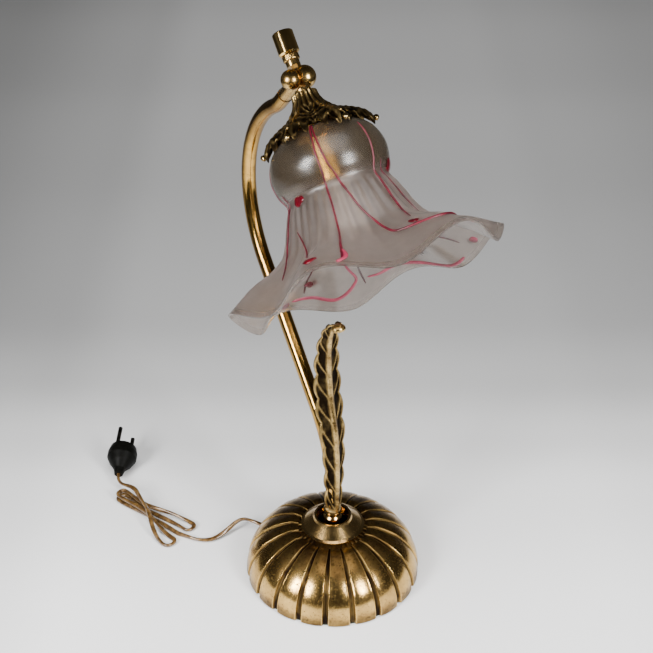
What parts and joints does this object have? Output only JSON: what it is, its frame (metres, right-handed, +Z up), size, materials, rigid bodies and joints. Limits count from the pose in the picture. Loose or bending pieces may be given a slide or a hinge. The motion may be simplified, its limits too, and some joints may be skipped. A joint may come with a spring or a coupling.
{
  "type": "table lamp",
  "caption": "Adjustable table lamp with a ruffled tulip glass shade hung from a bowed brass arm on a round gadrooned base, with its cord and plug.",
  "frame": {"origin": "middle of the felt foot, on the surface the lamp stands on", "axes": "+Z up, -Y forward where the shade reaches, +X to the right of someone who faces the way the shade points, hinge of the head along X"},
  "size_m": [0.2351, 0.3727, 0.4688],
  "materials": {
    "base_brass": "aged, dark in the grooves, rubbed bright on the lobes",
    "polished_brass": "polished, lightly tarnished",
    "cast_brass": "cast, antique, dark in the hollows",
    "felt": "matt felt",
    "iron": "rough cast",
    "steel": "zinc plated",
    "inner_flex": "smooth",
    "shade_glass": "frosted, clear inside the rim, with trailed red threads",
    "bulb_glass": "pearl",
    "porcelain": "glazed",
    "cord": "translucent gold",
    "bush": "smooth",
    "plug": "satin black",
    "pins": "nickel plated"
  },
  "bodies": {
    "stand": {"base_shell": "base_brass", "base_felt": "felt", "base_weight": "iron", "base_collar": "polished_brass", "base_washer": "steel", "base_nut": "steel", "base_nipple": "polished_brass", "arm_tube": "polished_brass", "stem_ring": "polished_brass", "leaf_stem": "cast_brass", "arm_knuckle": "polished_brass", "hinge_screw": "polished_brass", "inner_flex": "inner_flex", "cord_bush": "bush", "cord_lead": "cord", "cord_hank": "cord", "cord_tail": "cord", "plug_body": "plug", "plug_pins": "pins"},
    "head": {"head_yoke": "polished_brass", "hinge_washers": "polished_brass", "knob_collar": "polished_brass", "leaf_cap": "cast_brass", "cap_nut": "steel", "head_nipple": "polished_brass", "head_flex": "inner_flex", "lampholder_cap": "polished_brass", "lampholder_shell": "polished_brass", "lampholder_core": "porcelain", "shade_ring": "polished_brass", "bulb_cap": "polished_brass", "bulb_glass": "bulb_glass", "glass_shade": "shade_glass"},
    "knob": {"tilt_knob": "polished_brass"}
  },
  "joints": [
    {"name": "head_tilt", "type": "hinge", "parent": "stand", "child": "head", "pos_m": [0, 0.0517, 0.4369], "axis": [1, 0, 0], "range_deg": [-25, 20]},
    {"name": "knob_turn", "type": "hinge", "parent": "head", "child": "knob", "pos_m": [0, 0.0517, 0.4369], "axis": [0, 0.6691, 0.7431], "range_deg": [-180, 180]}
  ]
}
